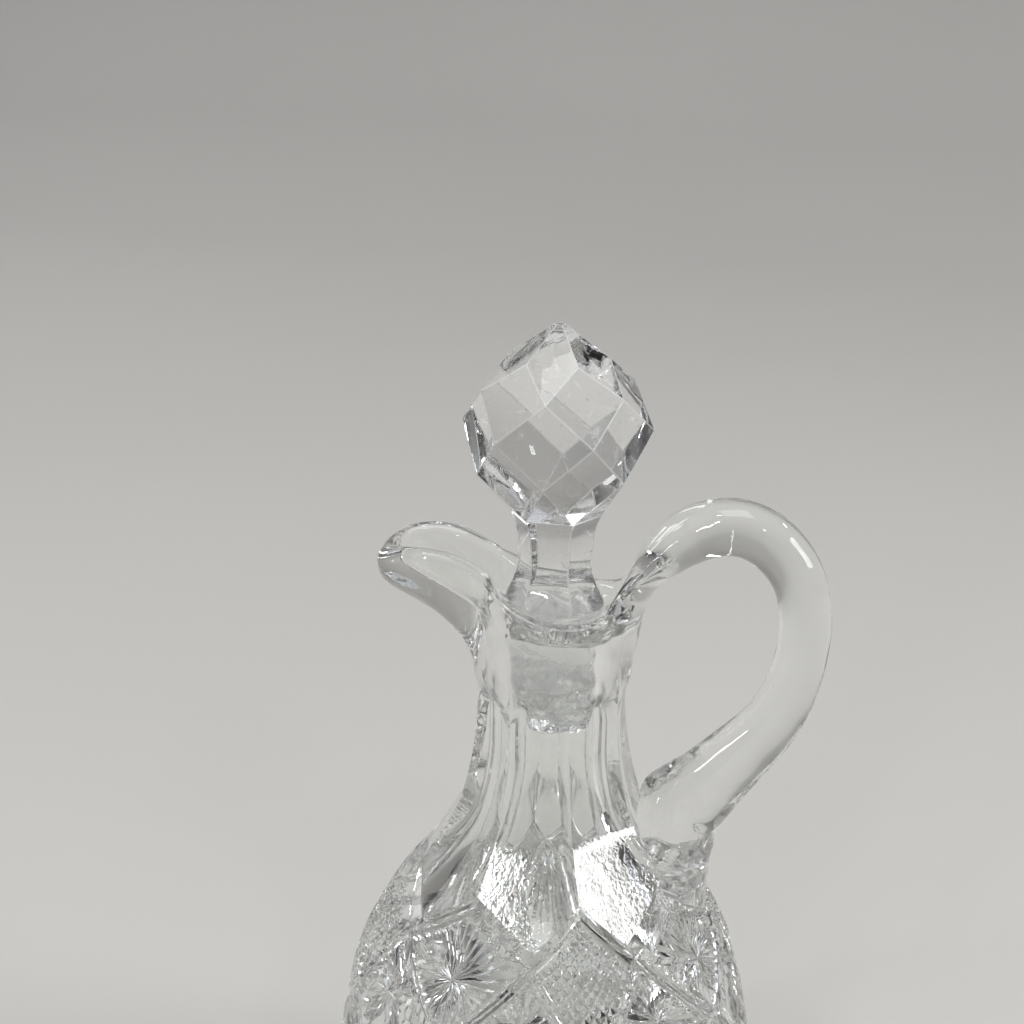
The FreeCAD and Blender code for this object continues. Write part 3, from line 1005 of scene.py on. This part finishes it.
def make_plug(materials):
    """The tapered plug, with the unevenness of rough pressed glass."""
    shell = Shell()
    shell.look = PLUG_LOOK
    outline = []
    for (r0, z0), (r1, z1) in zip(PLUG[1:-1], PLUG[2:-1]):
        steps = PLUG_ROWS if z1 - z0 > PLUG_TALL_RUN else 1
        outline += [(mix(r0, r1, n / steps), mix(z0, z1, n / steps)) for n in range(steps)]
    outline.append(PLUG[-2])
    rows = []
    for radius, z in outline:
        row = []
        for n in range(PLUG_COLUMNS):
            place = at(FULL * n / PLUG_COLUMNS, radius, z)
            ledge = DENT_TOP + noise.noise(place * LEDGE_SCALE) * DENT_RAGGED
            deep = mix(PLUG_NOISE, DENT_DEEP, smoothstep(ledge, ledge - DENT_LEDGE, z))
            sunk = deep * (DENT_MEAN - plug_dents(place))
            row.append(at(FULL * n / PLUG_COLUMNS, radius - sunk, z))
        rows.append(row)
    shell.rows(rows)
    for row, z in ((rows[0], PLUG[0][1]), (rows[-1], PLUG[-1][1])):
        shell.fan(row, (0, 0, z))
    return shell.make("plug", materials)


# --- materials ----------------------------------------------------------------------------------
class Nodes:
    """A small helper that builds one material's node tree."""

    def __init__(self, name):
        self.material = bpy.data.materials.new(name)
        self.material.use_nodes = True
        self.tree = self.material.node_tree
        self.shader = self.tree.nodes["Principled BSDF"]

    def add(self, kind, **values):
        node = self.tree.nodes.new(kind)
        for key, value in values.items():
            if key in node.inputs:
                node.inputs[key].default_value = value
            else:
                setattr(node, key, value)
        return node

    def link(self, source, target):
        self.tree.links.new(source, target)


GLASS_IOR = 1.52
NOISE_DETAIL = 2.0


def glass(name, tint, clear_share, roughness, wave, grain, fade=None):
    """Glass with slow waviness and fine grain in its surface, each as (scale, height in metres).

    With fade, the grain dies out between two heights.
    """
    nodes = Nodes(name)
    shader = nodes.shader
    shader.inputs["Base Color"].default_value = (*tint, 1)
    shader.inputs["Roughness"].default_value = roughness
    shader.inputs["IOR"].default_value = GLASS_IOR
    shader.inputs["Transmission Weight"].default_value = clear_share
    place = nodes.add("ShaderNodeTexCoord")
    normal = None
    for scale, height in (wave, grain):
        texture = nodes.add("ShaderNodeTexNoise", Scale=scale, Detail=NOISE_DETAIL)
        nodes.link(place.outputs["Object"], texture.inputs["Vector"])
        bump = nodes.add("ShaderNodeBump", Strength=1.0, Distance=height)
        nodes.link(texture.outputs["Fac"], bump.inputs["Height"])
        if normal is not None:
            nodes.link(normal, bump.inputs["Normal"])
        if fade is not None and (scale, height) == grain:
            split = nodes.add("ShaderNodeSeparateXYZ")
            share = nodes.add("ShaderNodeMapRange")
            share.inputs["From Min"].default_value = fade[1]
            share.inputs["From Max"].default_value = fade[0]
            nodes.link(place.outputs["Object"], split.inputs["Vector"])
            nodes.link(split.outputs["Z"], share.inputs["Value"])
            nodes.link(share.outputs["Result"], bump.inputs["Strength"])
        normal = bump.outputs["Normal"]
    nodes.link(normal, shader.inputs["Normal"])
    return nodes.material


PATCH_DETAIL = 3.0
PATCH_DISTORTION = 1.2
# How much the noise rises from a patch's clear edge to its milky middle.
PATCH_EDGE = 0.16


def frost(material, scale, milky, start=0.50):
    """Turns patches of a glass milky, as chilled or abraded glass is. A higher start leaves fewer."""
    tree = material.node_tree
    place = tree.nodes["Texture Coordinate"]
    shader = tree.nodes["Principled BSDF"]
    patches = tree.nodes.new("ShaderNodeTexNoise")
    patches.inputs["Scale"].default_value = scale
    patches.inputs["Detail"].default_value = PATCH_DETAIL
    patches.inputs["Distortion"].default_value = PATCH_DISTORTION
    share = tree.nodes.new("ShaderNodeMapRange")
    share.inputs["From Min"].default_value = start
    share.inputs["From Max"].default_value = start + PATCH_EDGE
    share.inputs["To Min"].default_value = shader.inputs["Transmission Weight"].default_value
    share.inputs["To Max"].default_value = milky
    tree.links.new(place.outputs["Object"], patches.inputs["Vector"])
    tree.links.new(patches.outputs["Fac"], share.inputs["Value"])
    tree.links.new(share.outputs["Result"], shader.inputs["Transmission Weight"])


def floor_material():
    """Pale and matt, with slight clouds."""
    nodes = Nodes("pale_floor")
    nodes.shader.inputs["Roughness"].default_value = 0.75
    place = nodes.add("ShaderNodeTexCoord")
    cloud = nodes.add("ShaderNodeTexNoise", Scale=3.0, Detail=4.0)
    tone = nodes.add("ShaderNodeValToRGB")
    tone.color_ramp.elements[0].color = (0.66, 0.64, 0.605, 1)
    tone.color_ramp.elements[1].color = (0.73, 0.71, 0.675, 1)
    nodes.link(place.outputs["Object"], cloud.inputs["Vector"])
    nodes.link(cloud.outputs["Fac"], tone.inputs["Fac"])
    nodes.link(tone.outputs["Color"], nodes.shader.inputs["Base Color"])
    return nodes.material


# --- build --------------------------------------------------------------------------------------
BOTTLE_TINT = (0.975, 0.985, 0.975)
KNOB_TINT = (0.98, 0.985, 0.98)
GROUND_TINT = (0.97, 0.98, 0.98)
# Heights in metres between which the speckle of the neck's panels dies out.
SPECKLE_FADE = (0.068, 0.092)

clear = glass("clear_glass", BOTTLE_TINT, 1.0, 0.0, (60.0, 0.00018), (1500.0, 0.000004))
speckled = glass(
    "speckled_glass", BOTTLE_TINT, 1.0, 0.0, (60.0, 0.00006), (1100.0, 0.000024), SPECKLE_FADE
)
cut = glass("stopper_glass", KNOB_TINT, 1.0, 0.0, (45.0, 0.00008), (900.0, 0.000002))
edge = glass("ground_edge", GROUND_TINT, 0.65, 0.30, (300.0, 0.00010), (2500.0, 0.00004))
rough = glass("rough_plug", GROUND_TINT, 1.0, 0.05, (300.0, 0.00020), (1800.0, 0.00002))
frost(rough, scale=190.0, milky=0.35)
frost(cut, scale=330.0, milky=0.55, start=0.60)

# Angles in degrees over which an edge stays sharp.
BOTTLE_SHARP = 24
STOPPER_SHARP = 12
FLOOR_SHARP = 60

bottle = make_bottle((clear, speckled))
handle = make_handle()
combine(handle, make_core(), "DIFFERENCE")
combine(bottle, handle, "UNION")
smooth(bottle, BOTTLE_SHARP)

stopper_materials = (cut, edge, rough)
stopper = make_knob(stopper_materials)
combine(stopper, make_plug(stopper_materials), "UNION")
smooth(stopper, STOPPER_SHARP)

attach(bottle, "bottle")
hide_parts("bottle", "handle")
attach(stopper, "stopper")
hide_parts("stopper")

# --- stage, light and camera --------------------------------------------------------------------
# The floor's places across, and its outline from the side as (Y, height).
FLOOR_X = (-3000, -1000, 0, 1000, 3000)
FLOOR_OUTLINE = [
    (-3000, 0),
    (0, 0),
    (900, 0),
    (1150, 30),
    (1330, 120),
    (1430, 280),
    (1460, 500),
    (1460, 2200),
]


def make_floor():
    """A pale floor that curves up far behind the bottle."""
    shell = Shell()
    shell.rows([[Vector((x, y, z)) for x in FLOOR_X] for y, z in FLOOR_OUTLINE], closed=False)
    made = shell.make("floor")
    smooth(made, FLOOR_SHARP)
    made.data.materials.append(floor_material())
    return made


def area_light(name, place, target, size, power):
    """A white rectangle of light at a place, turned to a target. Everything is in metres and watts."""
    data = bpy.data.lights.new(name, "AREA")
    data.shape = "RECTANGLE"
    data.size, data.size_y = size
    data.energy = power
    lamp = bpy.data.objects.new(name, data)
    bpy.context.collection.objects.link(lamp)
    lamp.location = place
    lamp.rotation_euler = (Vector(place) - Vector(target)).to_track_quat("Z", "Y").to_euler()


# A window of four tall panes, which the bottle's front right panel shows.
PANES = 4
PANE_PITCH = 0.098
WINDOW_X, WINDOW_Y, WINDOW_Z = 0.95, -0.11, 0.56
WINDOW_TARGET = (0.02, -0.02, 0.075)
PANE_SIZE = (0.045, 0.40)
PANE_POWER = 0.9
# The other lights: name, place, target, size and power.
MIDDLE = (0.0, 0.0, 0.10)
LIGHTS = [
    ("strip_front", (-0.228, -1.066, 0.82), (-0.006, -0.024, 0.075), (0.03, 0.5), 1.3),
    ("window_left", (-0.90, 0.20, 0.75), MIDDLE, (0.12, 0.6), 1.5),
    ("strip_left", (-0.70, -0.62, 0.42), MIDDLE, (0.04, 0.16), 0.6),
    ("strip_back", (-0.50, 0.85, 0.80), MIDDLE, (0.08, 0.5), 0.5),
    ("top_soft", (0.05, -0.15, 0.85), MIDDLE, (0.36, 0.36), 1.1),
    ("spark_0", (0.45, -0.75, 0.75), MIDDLE, (0.06, 0.06), 0.40),
    ("spark_1", (0.70, 0.45, 0.80), MIDDLE, (0.06, 0.06), 0.40),
    ("spark_2", (-0.20, -0.40, 1.10), MIDDLE, (0.06, 0.06), 0.40),
]

make_floor()
for pane in range(PANES):
    offset = (pane - (PANES - 1) / 2) * PANE_PITCH
    pane_at = (WINDOW_X, WINDOW_Y + offset, WINDOW_Z)
    area_light(f"window_pane_{pane + 1}", pane_at, WINDOW_TARGET, PANE_SIZE, PANE_POWER)
for light in LIGHTS:
    area_light(*light)

# The surroundings by height: (share of the way from level to straight up, colour).
AT_HORIZON = (0.02, (0.30, 0.29, 0.28, 1))
OVER_HORIZON = (0.30, (0.035, 0.035, 0.04, 1))
OVERHEAD = (0.85, (0.60, 0.62, 0.65, 1))


def make_world():
    """Soft surroundings: grey at the horizon, dark some way above it and bright overhead."""
    world = bpy.data.worlds.new("studio")
    world.use_nodes = True
    tree = world.node_tree
    place = tree.nodes.new("ShaderNodeTexCoord")
    split = tree.nodes.new("ShaderNodeSeparateXYZ")
    height = tree.nodes.new("ShaderNodeValToRGB")
    tree.links.new(place.outputs["Generated"], split.inputs["Vector"])
    tree.links.new(split.outputs["Z"], height.inputs["Fac"])
    ramp = height.color_ramp
    ramp.elements[0].position, ramp.elements[0].color = AT_HORIZON
    ramp.elements[1].position, ramp.elements[1].color = OVERHEAD
    position, colour = OVER_HORIZON
    ramp.elements.new(position).color = colour
    tree.links.new(height.outputs["Color"], tree.nodes["Background"].inputs["Color"])
    bpy.context.scene.world = world


make_world()
bpy.context.scene.view_settings.view_transform = "Standard"

CAMERA_AT = (0.0652, -0.4165, 0.2804)
CAMERA_TURN = 10.0
CAMERA_PITCH = 18.0
CAMERA_ROLL = 0.9
CAMERA_LENS = 84.375
SENSOR_WIDTH = 36.0
camera_data = bpy.data.cameras.new("camera")
camera_data.lens = CAMERA_LENS
camera_data.sensor_width = SENSOR_WIDTH
camera = bpy.data.objects.new("camera", camera_data)
bpy.context.collection.objects.link(camera)
turn = Matrix.Rotation(math.radians(CAMERA_TURN), 4, "Z")
tilt = Matrix.Rotation(math.radians(90 - CAMERA_PITCH), 4, "X")
roll = Matrix.Rotation(math.radians(CAMERA_ROLL), 4, "Z")
camera.matrix_world = Matrix.Translation(CAMERA_AT) @ turn @ tilt @ roll
bpy.context.scene.camera = camera

# A ray crosses many surfaces of the lattice and the stopper before it is out of the glass.
GLASS_BOUNCES = 24
GLOSSY_BOUNCES = 8
cycles = bpy.context.scene.cycles
cycles.max_bounces = GLASS_BOUNCES
cycles.transmission_bounces = GLASS_BOUNCES
cycles.glossy_bounces = GLOSSY_BOUNCES
